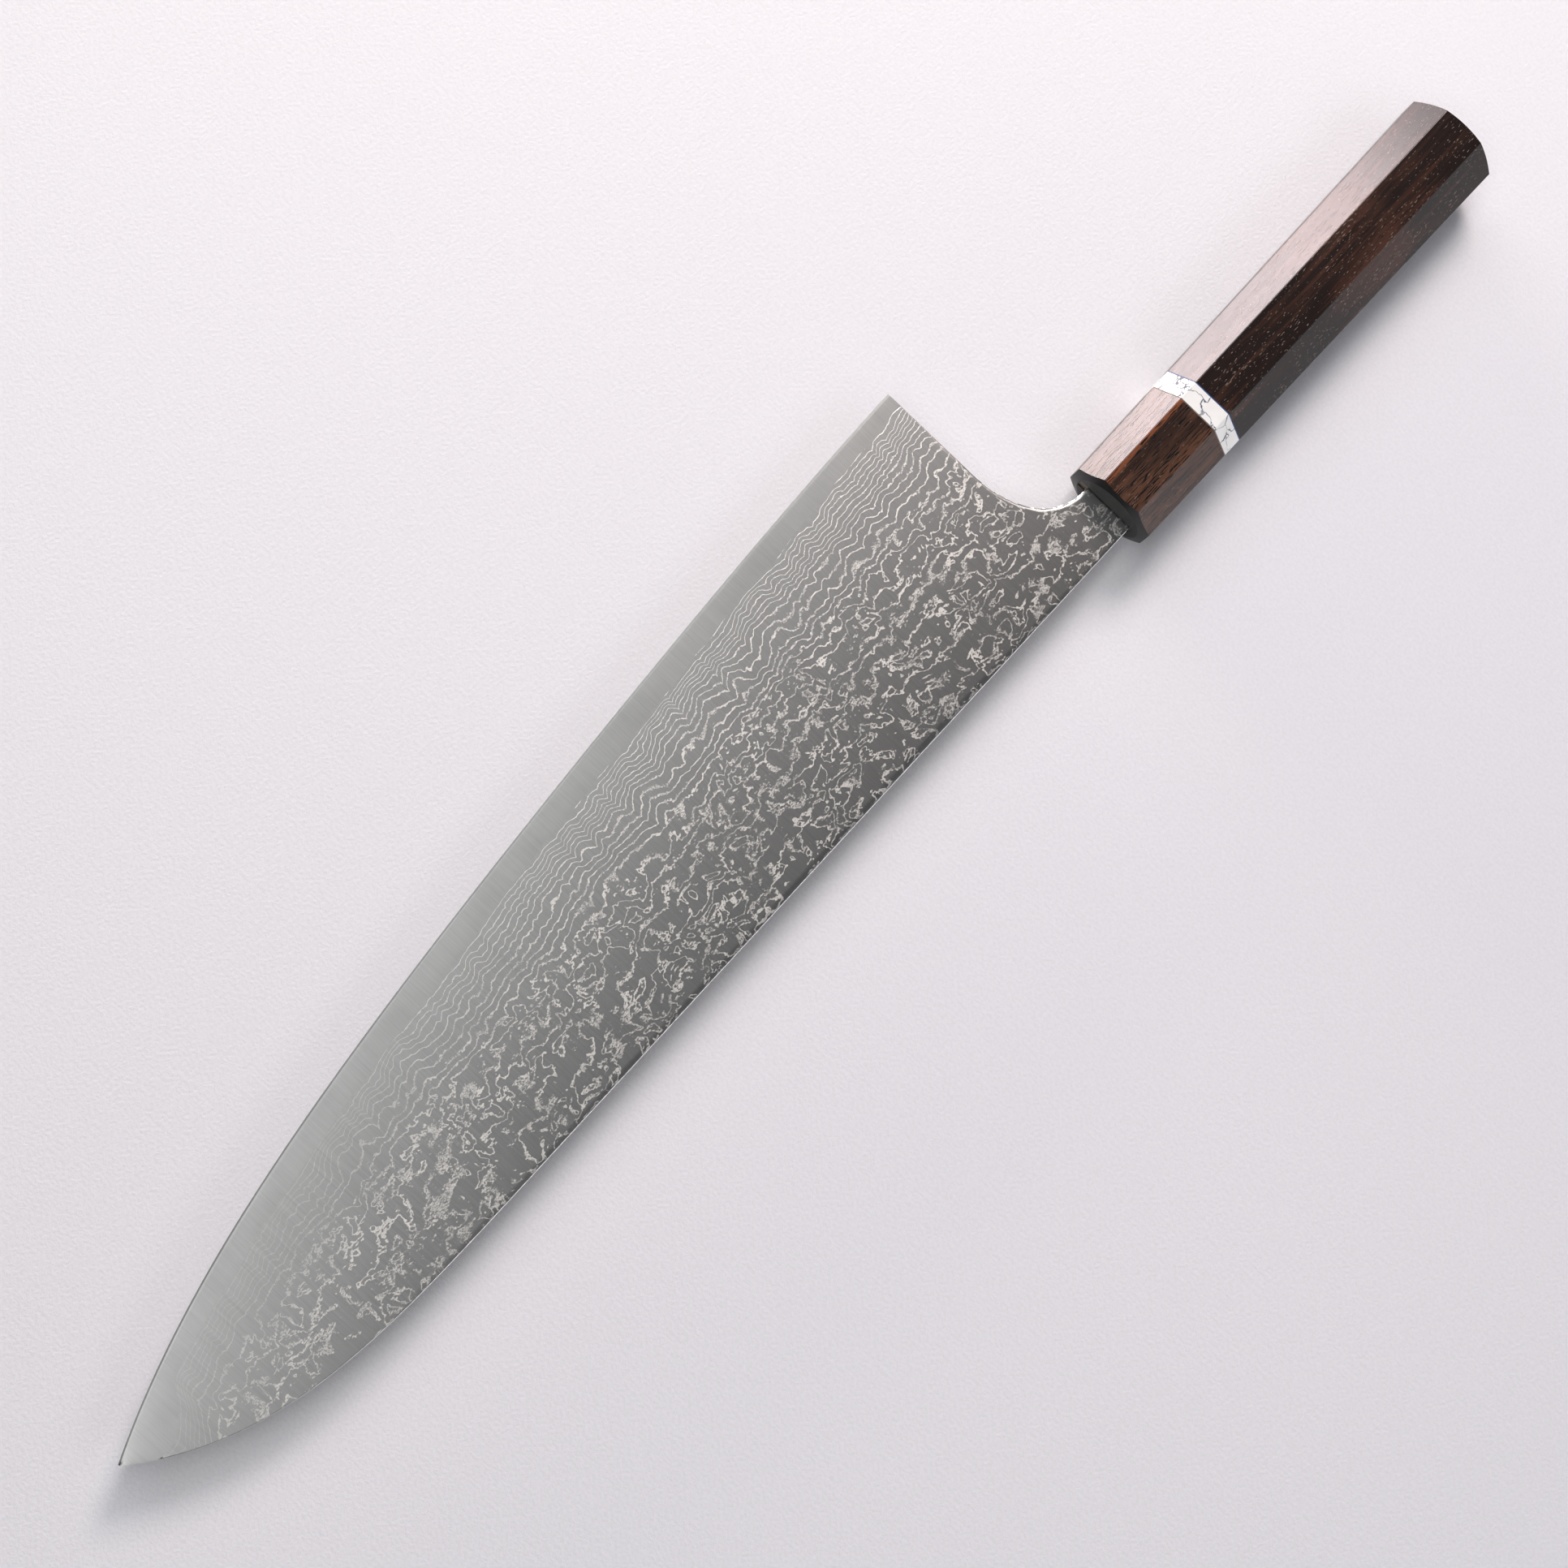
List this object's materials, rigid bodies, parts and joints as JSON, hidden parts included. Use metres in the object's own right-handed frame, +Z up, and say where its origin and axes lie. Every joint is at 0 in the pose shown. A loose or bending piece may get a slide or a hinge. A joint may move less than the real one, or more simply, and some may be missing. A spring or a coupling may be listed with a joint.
{
  "type": "chef knife",
  "caption": "Japanese-style chef's knife with a layered damascus blade and an octagonal dark wood handle with a white stone ring.",
  "frame": {"origin": "bottom centre of the bounding box, on the surface that the knife lies on with the blade level", "axes": "+X from the butt to the tip along the handle's axis, +Y from the cutting edge to the spine, +Z up, square to the blade's middle plane"},
  "size_m": [0.465, 0.0719, 0.0242],
  "materials": {
    "core_steel": "satin, fine hand-rubbed lines across the bevel",
    "damascus_steel": "satin dark steel with thin light nickel contour lines",
    "ferrule_wood": "polished dark brown striped hardwood",
    "front_liner": "thin grey-brown fibre sheet",
    "white_stone": "polished white with fine grey veins",
    "rear_liner": "thin blue-black fibre sheet",
    "body_wood": "polished near-black hardwood with open pores",
    "dowel_wood": "plain pale hardwood",
    "epoxy": "dark glue, slightly rough"
  },
  "bodies": {
    "root": {"core_steel": "core_steel", "cladding_right": "damascus_steel", "cladding_left": "damascus_steel", "ferrule": "ferrule_wood", "front_liner": "front_liner", "spacer_ring": "white_stone", "rear_liner": "rear_liner", "handle_body": "body_wood", "tang_dowel": "dowel_wood", "tang_epoxy": "epoxy"}
  },
  "joints": []
}
